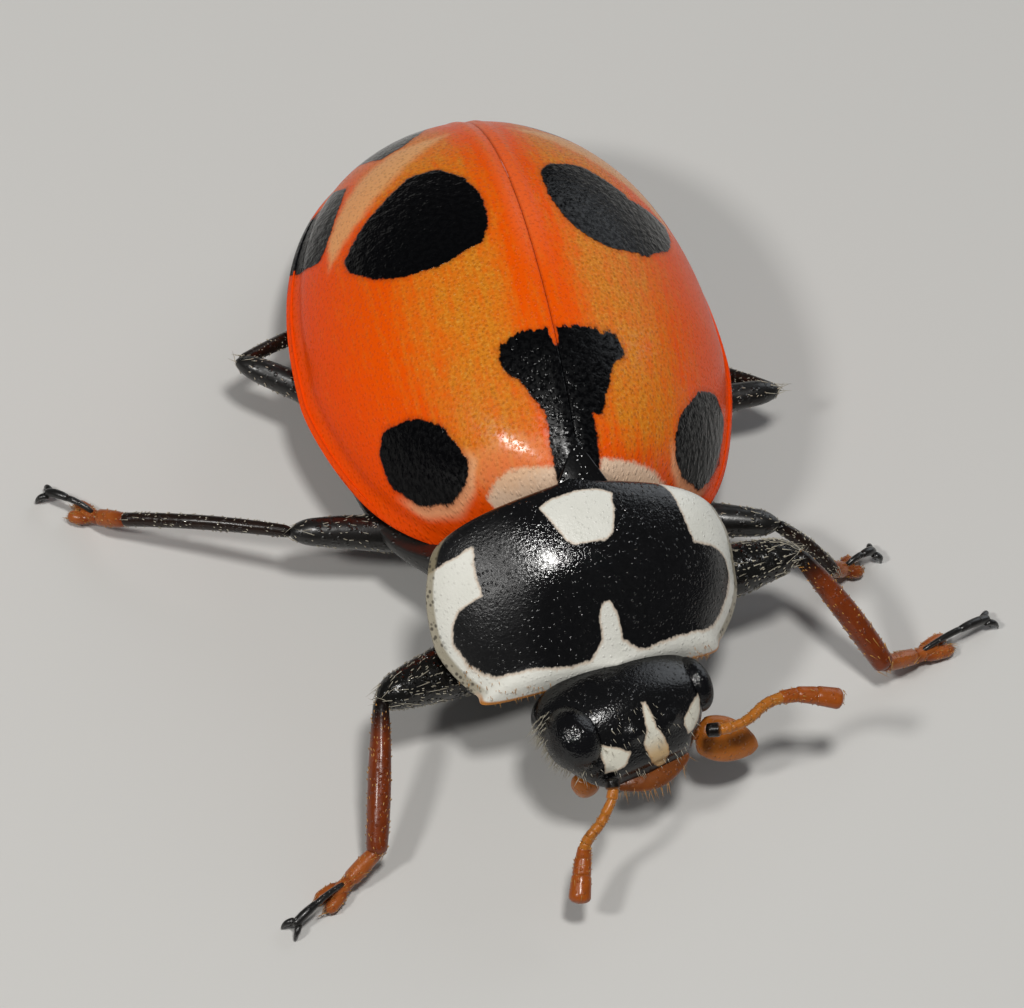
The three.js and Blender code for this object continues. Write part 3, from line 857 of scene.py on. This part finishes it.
def across_case(co):
    """Arc length across the dome from the seam, place along it, and height over the rim."""
    share = held((co.y - CASES.front) / CASES.length)
    rim, crown = case_rim(share), case_crown(share)
    rise = held((co.z - rim) / max(crown - rim, 1e-4)) ** (1 / CASES.dome)
    angle = atan2(rise, abs(co.x) / max(case_half(share), 1e-4))
    turns = (angle + (RIGHT_ANGLE - angle) * i / ARC_STEPS for i in range(ARC_STEPS + 1))
    places = [case_section(share, turn) for turn in turns]
    arc = sum(dist(a, b) for a, b in zip(places, places[1:]))
    return copysign(arc, co.x), co.y, co.z - rim


def shape_case(co):
    """The dome's shape for a point of the unit ball."""
    share = (co.y + 1) / 2
    size = hypot(co.x, co.z)
    y = CASES.front + CASES.length * share
    if size < 1e-5:
        return Vector((0, y, case_rim(share)))
    angle = atan2(co.z, abs(co.x))
    if angle < 0:
        half = cos(angle) * case_half(share)
        return Vector((copysign(half, co.x), y, case_rim(share) - 0.012 * sin(-3 * angle)))
    half, height = case_section(share, angle)
    swell = noise.noise(Vector((half * 1.1 * copysign(1, co.x), y * 0.9, 4.2))) * 0.018
    ripple = noise.noise(Vector((half * 5 * copysign(1, co.x), y * 1.6, 1.3))) * 0.004
    lift = (swell + ripple) * sin(angle)
    return Vector((copysign(half, co.x) * (1 + lift * 0.5), y, height + lift))


def lay_case(co):
    """The cases lie a little aside, the left shoulder a little ahead of the right one."""
    ahead = past((co.y - CASES.front) / CASES.length)[0]
    return Vector((co.x + CASES.aside, co.y - CASES.skew * ahead * co.x, co.z))


def wing_case(side, sign):
    """Half the dome: cut off below and along the seam, beaded there, and given its wall."""
    bm = ball(208, 104)
    middles = {f: f.calc_center_median() for f in bm.faces}
    under = [f for f, co in middles.items() if atan2(co.z, abs(co.x)) < CASES.fold]
    bmesh.ops.delete(bm, geom=under, context="FACES")
    for v in bm.verts:
        v.co = shape_case(v.co)
    seam, turn_in = CASES.seam, CASES.turn_in
    reaches = [seam + turn_in * share for share in (4.5, 3.2, 2.2, 1.5, 1.0, 0.7, 0.4, 0.15)]
    for reach in reaches + [seam]:
        bmesh.ops.bisect_plane(
            bm, geom=bm.verts[:] + bm.edges[:] + bm.faces[:], dist=1e-5,
            plane_co=(sign * reach, 0, 0), plane_no=(sign, 0, 0), clear_inner=reach == seam)
    for v in bm.verts:
        inward = 1 - (abs(v.co.x) - seam) / turn_in
        behind = held((v.co.y - 0.4) / 1.2)
        bead = exp(-((abs(v.co.x) - 0.075) / 0.035) ** 2) * (0.003 + 0.012 * behind)
        if v.co.z > CASES.rim + 0.02:
            v.co.z += bead
            if inward > 0:
                v.co.z -= 0.45 * turn_in * (1 - sqrt(max(1 - min(inward, 1) ** 2, 0)))
    bmesh.ops.remove_doubles(bm, verts=bm.verts, dist=2e-4)
    mapped(bm, "spread", across_case)
    for v in bm.verts:
        v.co = lay_case(v.co)
    thicken(bm, CASES.wall)
    piece(f"wing_case_{side}", bm, CASE_LOOK, [f"elytron_{side}"], sharp=60)


PLATE = SimpleNamespace(sunk=0.2, tall=0.204, round=0.018)


def scutellum():
    """The small three-cornered plate between the bases of the cases, its point to the tail."""
    low, high = ((corner - ORIGIN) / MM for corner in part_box("scutellum"))
    bm = bmesh.new()
    bmesh.ops.create_circle(bm, cap_ends=True, segments=3, radius=1)
    top = bmesh.ops.extrude_face_region(bm, geom=bm.faces[:])
    raised = [g for g in top["geom"] if isinstance(g, bmesh.types.BMVert)]
    bmesh.ops.translate(bm, vec=(0, 0, 1), verts=raised)
    ends = [(min(v.co[k] for v in bm.verts), max(v.co[k] for v in bm.verts)) for k in range(3)]
    for v in bm.verts:
        across, back, up = ((v.co[k] - ends[k][0]) / (ends[k][1] - ends[k][0]) for k in range(3))
        y = low.y + (high.y - low.y) * back
        crown = case_crown((y - CASES.front) / CASES.length)
        v.co = (low.x + (high.x - low.x) * across, y, crown - PLATE.sunk + PLATE.tall * up)
    bmesh.ops.recalc_face_normals(bm, faces=bm.faces)
    bmesh.ops.bevel(bm, geom=bm.edges[:], offset=PLATE.round, affect="EDGES", segments=3,
                    profile=0.5, material=-1)
    piece("scutellum_plate", bm, BLACK_LOOK, ["scutellum"])


# ---------- neck shield ----------

# Rings of a loft: turn, y, half-width, crown, rim and keel.
shield_ring = stations([(*row, SHIELD.keel + keel) for *row, keel in (
    (0, -1.235, 0, 1.24, 1.12, 0.2),
    (0.1, -1.165, 0.87, 1.29, 0.965, 0.18),
    (0.2, -1.05, 0.975, 1.41, 0.95, 0.1),
    (0.35, -0.83, 1.11, 1.63, 1.0, -0.04),
    (0.5, -0.6, 1.175, 1.78, 1.09, 0),
    (0.7, -0.28, 1.13, 1.87, 1.37, 0.1),
    (0.85, -0.07, 0.9, 1.88, 1.55, 0.2),
    (1, 0.05, 0, 1.86, 1.75, 0.3),
)])


def neck_shield():
    """The shield, with a turned-up lip at its sides, skewed, its left front corner drawn in."""
    bm = loft(shield_ring, 208, 120, 1.2, 0.6)
    edge = layer_of(bm, "edge")
    for v in bm.verts:
        over, rise = v[edge].x, v[edge].z
        ahead = held((-v.co.y - 1.02) / 0.1)
        v[edge] = (over, ahead, rise)
        lip = 0.03 * exp(-over / 0.05) if rise >= 0 else 0.03 * max(0, 1 + 2 * rise)
        sides = min(1, abs(v.co.x) / 0.8) ** 3
        v.co.x += copysign(lip * sides * (1 - 0.8 * ahead * (v.co.x > 0)), v.co.x)
        v.co.y -= SHIELD.skew * held(1 + v.co.y / 0.6) * v.co.x
        corner = held((-v.co.y - 0.7) / 0.45) ** 2
        v.co.x -= 0.1 * corner * max(0, v.co.x) ** 2
    mapped(bm, "spread", lambda co: co)
    turn_place(bm, SHIELD.turn, SHIELD.hind)
    grow(bm, "gold", 260, 0.032, (0.1, -1, -0.2), lambda co: co.y < -1.95 and 0.96 < co.z < 1.14)
    piece("neck_shield", bm, SHIELD_LOOK, ["pronotum"], sharp=70)


# ---------- head ----------

HEAD_TURN = radians(19)
HEAD_MIDDLE = Vector((0.17, -2.46, 0.99))

head_ring = stations([
    (0, -0.38, 0, -0.16, -0.2, -0.26),
    (0.15, -0.34, 0.36, -0.03, -0.18, -0.32),
    (0.35, -0.2, 0.53, 0.15, -0.08, -0.38),
    (0.6, 0.05, 0.65, 0.27, 0, -0.38),
    (0.85, 0.42, 0.56, 0.2, -0.05, -0.32),
    (1, 0.55, 0, 0, -0.1, -0.2),
])


def on_head(co):
    return Matrix.Rotation(HEAD_TURN, 3, "Z") @ Vector(co) + HEAD_MIDDLE


def down_face(co):
    return -(co.y + co.z) * sqrt(0.5)


def shape_brow(co):
    """Small relief of the face: the clypeus step, the feelers' notches and the two low bosses."""
    down = down_face(co)

    def hollow(x, y, wide, tall):
        return exp(-((co.x - x) / wide) ** 2 - ((down - y) / tall) ** 2)

    step = -0.014 * exp(-((down - 0.37) / 0.03) ** 2) * exp(-((co.x - 0.06) / 0.35) ** 4)
    notch = sum(-0.03 * hollow(x, 0.3, 0.06, 0.06) for x in (-0.36, 0.45))
    boss = sum(0.028 * hollow(x, 0.05, 0.075, 0.065) for x in (-0.09, 0.23))
    return step + notch + boss


def head():
    bm = loft(head_ring, 144, 88, 1, 0.8)
    bm.normal_update()
    moves = [v.normal * shape_brow(v.co) for v in bm.verts]
    for v, move in zip(bm.verts, moves):
        v.co += move
    mapped(bm, "spread", lambda co: co)
    mapped(bm, "face", lambda co: (co.x, down_face(co), 0))
    turn_place(bm, HEAD_TURN, HEAD_MIDDLE)
    cheek = on_head((-0.56, 0.02, -0.02))
    grow(bm, "pale", 170, 0.07, (-0.3, -0.5, -0.2), lambda co: (co - cheek).length < 0.27)
    grow(bm, "pale", 120, 0.045, (0.3, -0.6, -0.4),
         lambda co: co.y < HEAD_MIDDLE.y and co.z > HEAD_MIDDLE.z - 0.25)
    piece("head_capsule", bm, HEAD_LOOK, ["head"], sharp=70)


LENS = SimpleNamespace(reach=0.036, dip=0.022)


def eye(side):
    """A domed eye of many small lenses."""
    def cobbles(divisions):
        bm = bmesh.new()
        bmesh.ops.create_icosphere(bm, subdivisions=divisions, radius=1)
        return bm

    centres = cobbles(5)
    tree = kdtree.KDTree(len(centres.verts))
    for i, v in enumerate(centres.verts):
        tree.insert(v.co, i)
    tree.balance()
    bm = cobbles(6)
    for v in bm.verts:
        away = tree.find(v.co)[2]
        v.co *= 1 - LENS.dip * min(away / LENS.reach, 1) ** 2
    centres.free()
    sized(bm, EYES[side]["radii"], EYES[side]["place"])
    turn_place(bm, HEAD_TURN, HEAD_MIDDLE)
    piece(f"compound_eye_{side}", bm, EYE_LOOK, [f"eye_{side}"], sharp=180)


def labrum():
    """The amber upper lip, a rounded plate below the clypeus."""
    bm = ball(48, 28)
    centre = Vector((0.04, -0.37, -0.265))
    for v in bm.verts:
        squared = copysign(abs(v.co.x) ** 0.75, v.co.x)
        wave = 0.03 * cos(squared * 3)
        y, z = v.co.yz
        v.co = centre + Vector((squared * 0.33, y * 0.085 - wave, z * 0.048 + 0.02 * y))
    mapped(bm, "spread", lambda co: (co.x, 1, 0))
    turn_place(bm, HEAD_TURN, HEAD_MIDDLE)
    grow(bm, "gold", 70, 0.075, (0.1, -0.5, -0.8), lambda co: co.z < HEAD_MIDDLE.z - 0.25)
    piece("upper_lip", bm, LIP_LOOK, ["labrum"])


def mandibles():
    """Dark tips of the jaws, seen from in front below the lip."""
    forms = []
    for sign in (1, -1):
        root = on_head((sign * 0.26, -0.28, -0.33))
        tip = on_head((sign * 0.03, -0.4, -0.33))
        forms.append(limb(root, tip, (0.07, 0.055, 0.012), 16, 14, flat=1.3, bow=0.03))
    piece("mandibles", joined(forms), LEG_LOOK)


# ---------- feelers and palps ----------


def path_point(points, share):
    """A point on a smooth curve through a few points."""
    rows = [(i / (len(points) - 1), *p) for i, p in enumerate(points)]
    return Vector(stations(rows)(held(share)))


def far_point(node, start):
    return max(node_points(node), key=lambda p: (p - start).length)


# Stops from the foot to the tip, measured back from the tip of the solid club.
FEELERS = {
    "right": ((0.32, 0.71, 0.55), (0.31, 0.59, 0.47), (0.2, 0.44, 0.37), (0.1, 0.37, 0.27),
              (0.067, 0.28, 0.15), (0, 0, 0)),
    "left": ((-1.1, -0.18, 0.05), (-0.92, -0.185, 0.06), (-0.76, -0.13, 0.07),
             (-0.585, -0.005, 0.07), (-0.327, 0.05, 0.05), (0, 0, 0)),
}
# Each joint of a feeler: its length, and its radius at its near and far end.
JOINTS = ((0.12, 0.052, 0.056), (0.09, 0.04, 0.046), (0.11, 0.034, 0.04), (0.075, 0.036, 0.041),
          (0.07, 0.037, 0.042), (0.065, 0.038, 0.043), (0.065, 0.039, 0.046), (0.065, 0.041, 0.045),
          (0.09, 0.043, 0.052), (0.09, 0.052, 0.064), (0.1, 0.064, 0.075))
STALK_JOINTS = 8


def feeler(side):
    tip = far_point(f"antenna_{side}_club", HEAD_MIDDLE)
    stops = [tip + Vector(stop) for stop in FEELERS[side]]
    whole = sum(joint[0] for joint in JOINTS)
    forms, gone = [], 0.0
    for i, (length, near, far) in enumerate(JOINTS):
        start = path_point(stops, gone / whole)
        gone += length
        end = path_point(stops, gone / whole)
        flat = 1.0 if i < STALK_JOINTS else 1.15
        start = start - (end - start) * (0.3 if i else 0)
        form = limb(start, end, (near, (near + far) / 2, far), 14, 18, cap=0.2, flat=flat)
        layer = form.verts.layers.float_vector["spread"]
        for v in form.verts:
            v[layer] = (v[layer].x, gone - length * (1 - v[layer].z), v[layer].z)
        if i > 1:
            grow(form, "gold", 16, 0.05, end - start)
        forms.append(form)
    for name, part, look, node in (("stalk", forms[:STALK_JOINTS], FEELER_LOOK, "shaft"),
                                   ("club", forms[STALK_JOINTS:], CLUB_LOOK, "club")):
        piece(f"feeler_{side}_{name}", joined(part), look,
              [f"antenna_{side}_{node}"])


PALPS = {"right": {"back": 0.22, "flat": 1.5}, "left": {"back": 0, "flat": 2.4}}


def palp(side, sign):
    """A jaw palp: two short joints and a broad, flat, hatchet-shaped last one."""
    tip = far_point(f"palp_{side}", HEAD_MIDDLE)
    foot = on_head((sign * 0.42 + 0.03, -0.14, -0.28))
    tip += (foot - tip) * PALPS[side]["back"]
    hinge = tip + (foot - tip) * 0.82
    forms = [limb(foot, foot + (hinge - foot) * 0.6, (0.05, 0.06, 0.06), 12, 16, cap=0.2)]
    forms.append(limb(foot + (hinge - foot) * 0.5, hinge, (0.045, 0.055, 0.05), 12, 16, cap=0.2))
    forms.append(limb(hinge, tip, (0.05, 0.105, 0.015), 22, 28, cap=0.1,
                      upward=facing(-24, 55), flat=PALPS[side]["flat"]))
    piece(f"palp_{side}_joints", joined(forms), PALP_LOOK, [f"palp_{side}"])


# ---------- legs ----------


def joints_of(place):
    """Hip, knee, ankle and claw tip of a leg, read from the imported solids."""
    outward = -1 if place.endswith("right") else 1
    pole = max(node_points(f"coxa_{place}"), key=lambda p: p.x * outward)
    hip = pole - Vector((outward * 0.26, 0, -0.04)).normalized() * LIMB_SOLID["coxa"]
    joints = [hip]
    for part in ("femur", "tibia"):
        pole = far_point(f"{part}_{place}", joints[-1])
        joints.append(pole - (pole - joints[-1]).normalized() * LIMB_SOLID[part])
    tip = far_point(f"tarsus_{place}", joints[-1])
    joints.append(Vector((tip.x, tip.y, 0)))
    return joints


# Radii of each row's thigh and shin, the thigh's count of hairs, and the shin's wool.
LEG_SIZES = {"front": ((0.2, 0.27, 0.1), (0.06, 0.12, 0.085), 620, "gold"),
             "middle": ((0.13, 0.17, 0.085), (0.05, 0.065, 0.055), 200, "pale"),
             "hind": ((0.11, 0.135, 0.085), (0.05, 0.07, 0.06), 200, "pale")}


def tarsus_forms(ankle, tip):
    """The foot: a first joint, a two-lobed second one, and the slim claw joint with its claws."""
    level = Vector((tip.x - ankle.x, tip.y - ankle.y, 0))
    way = level.normalized()
    side = Vector((-way.y, way.x, 0))
    reach = level.length

    def at(share, height, off=0.0):
        along = way * reach * share + side * off
        return Vector((ankle.x, ankle.y, 0)) + along + Vector((0, 0, height))

    brown = [limb(at(-0.03, ankle.z + 0.01), at(0.3, 0.13), (0.05, 0.075, 0.06), 16, 18),
             limb(at(0.25, 0.13), at(0.5, 0.08), (0.045, 0.065, 0.05), 14, 18)]
    for off in (0.045, -0.045):
        brown.append(limb(at(0.36, 0.1, off * 0.7), at(0.61, 0.052, off * 1.4),
                          (0.035, 0.06, 0.045), 14, 16, cap=0.25))
    dark = [limb(at(0.36, 0.15), at(0.7, 0.165), (0.018, 0.024, 0.026), 14, 14, bow=0.02),
            limb(at(0.67, 0.166), at(0.95, 0.09), (0.026, 0.04, 0.034), 14, 14, bow=0.02)]
    for off in (0.07, -0.07):
        dark += [limb(at(0.9, 0.1, off * 0.25), at(0.995, 0.007, off),
                      (0.03, 0.022, 0.008), 14, 10, bow=0.035),
                 limb(at(0.92, 0.08, off * 0.2), at(0.95, 0.025, off * 0.6),
                      (0.018, 0.014, 0.006), 8, 8)]
    return brown, dark


def leg(place):
    hip, knee, ankle, tip = joints_of(place)
    row = place.split("_")[0]
    thigh_radii, shin_radii, thigh_hairs, shin_wool = LEG_SIZES[row]
    inward = -0.2 if hip.x > 0 else 0.2
    cup = [sized(ball(32, 20), (0.27, 0.2, 0.17), hip + Vector((inward, 0, 0.06))),
           sized(ball(32, 20), (0.13, 0.13, 0.12), hip)]
    thigh_end = knee + (knee - hip).normalized() * 0.03
    thigh = limb(hip, thigh_end, thigh_radii, 40, 30, cap=0.12, bow=0.03)
    grow(thigh, "pale", thigh_hairs, 0.1, knee - hip)
    shin_end = ankle + (ankle - knee).normalized() * 0.04
    shin = limb(knee, shin_end, shin_radii, 40, 26, cap=0.05, bow=0.04, flat=0.9)
    grow(shin, shin_wool, 150, 0.08, ankle - knee)
    brown, dark = tarsus_forms(ankle, tip)
    for form in brown:
        grow(form, "gold", 34, 0.07, tip - ankle)
    thigh_look, shin_look = FRONT_LEG_LOOKS if row == "front" else (LEG_LOOK, DARK_SHIN_LOOK)
    for part, name, form, look, slot in (
            ("coxa", "cup", joined(cup), LEG_LOOK, "black_body"),
            ("femur", "shell", thigh, thigh_look, "black_body"),
            ("tibia", "shell", shin, shin_look, "amber_cuticle"),
            ("tarsus", "pads", joined(brown), FOOT_LOOK, "amber_cuticle")):
        piece(f"{part}_{place}_{name}", form, look, [f"{part}_{place}"])
    piece(f"tarsus_{place}_claws", joined(dark), LEG_LOOK)


# ---------- trunk ----------

trunk_ring = stations([
    (0, -2.12, 0, 1.0, 0.9, 0.75),
    (0.06, -2.06, 0.46, 1.06, 0.88, 0.6),
    (0.14, -1.75, 0.66, 1.1, 0.86, 0.5),
    (0.24, -1.2, 0.74, 1.1, 0.84, 0.46),
    (0.31, -0.9, 0.92, 1.0, 0.76, 0.44),
    (0.4, -0.5, 1.22, 0.74, 0.7, 0.42),
    (0.55, 0.4, 1.42, 0.73, 0.69, 0.4),
    (0.72, 1.4, 1.31, 0.72, 0.67, 0.41),
    (0.86, 2.2, 0.98, 0.65, 0.6, 0.43),
    (0.95, 2.68, 0.5, 0.58, 0.55, 0.47),
    (1, 2.82, 0, 0.56, 0.54, 0.5),
])


BELLY = SimpleNamespace(front=0.5, plate=0.44, top=0.66, step=0.022)


def trunk():
    """One skin for the fore body, the chest and the belly, with the belly's plates stepped."""
    bm = loft(trunk_ring, 128, 190, 0.5, 0.8)
    for v in bm.verts:
        ahead = max(0, SHIELD.hind.y - v.co.y)
        v.co.x += tan(SHIELD.turn) * ahead - 0.055 * min(1, ahead / 0.3)
        plate = (v.co.y - BELLY.front) / BELLY.plate
        if plate > 0 and v.co.z < BELLY.top:
            v.co.z -= BELLY.step * (plate % 1) * min(1, (BELLY.top - v.co.z) / 0.1)
        v.co += Vector((0, 0, 0.012 * noise.noise(v.co * 3)))
    piece("trunk_skin", bm, BODY_LOOK, ["prothorax", "thorax", "abdomen"], sharp=70)


def floor():
    bm = bmesh.new()
    bmesh.ops.create_circle(bm, cap_ends=True, segments=96, radius=0.4)
    mesh = as_mesh("floor", bm)
    mesh.materials.append(floor_finish().material)
    placed("floor", mesh)


CASE_LOOK = case_finish()
SHIELD_LOOK = shield_finish()
HEAD_LOOK = head_finish()
EYE_LOOK = eye_finish()
BLACK_LOOK = black_cuticle("scutellum_shell", "020203", "060607", 0.1, 0.004, 0)
BODY_LOOK = black_cuticle("trunk_cuticle", "060606", "201e1b", 0.42)
LEG_LOOK = black_cuticle("leg_cuticle", "050505", "1d1b19", 0.28)
FRONT_LEG_LOOKS = (
    black_cuticle("front_thigh_cuticle", "030303", "151412", 0.14, 0.026, 0),
    amber_cuticle("front_shin_cuticle", "8e3e12", "4a1a07", "100805", 0.08, 0.36))
DARK_SHIN_LOOK = amber_cuticle("hind_shin_cuticle", "2a1a12", "0d0a09", "060505")
FOOT_LOOK = amber_cuticle("foot_cuticle", "b4642a", "7c3a12", "7a3510")
FEELER_LOOK = amber_cuticle("feeler_cuticle", "c47c30", "92500f", "0c0806", 0.08, 0.13)
CLUB_LOOK = amber_cuticle("club_cuticle", "b25c1c", "78360c", "0c0806", 0.08, 0.13)
PALP_LOOK = amber_cuticle("palp_cuticle", "be7128", "8a4a12", "5a2a0c", -0.1, 0.0)
LIP_LOOK = amber_cuticle("lip_cuticle", "8a4c20", "5c2f12", "5a2a0c", -0.1, 0.0)
PALE_HAIR = hair_finish("pale_hairs", "8c8474", "cfc8b4")
GOLD_HAIR = hair_finish("gold_hairs", "8a5418", "d9a04e")

floor()
for side, sign in SIDES:
    wing_case(side, sign)
    eye(side)
    feeler(side)
    palp(side, sign)
scutellum()
neck_shield()
head()
labrum()
mandibles()
for place in LEGS:
    leg(place)
trunk()
hair_coat("pale", PALE_HAIR)
hair_coat("gold", GOLD_HAIR)
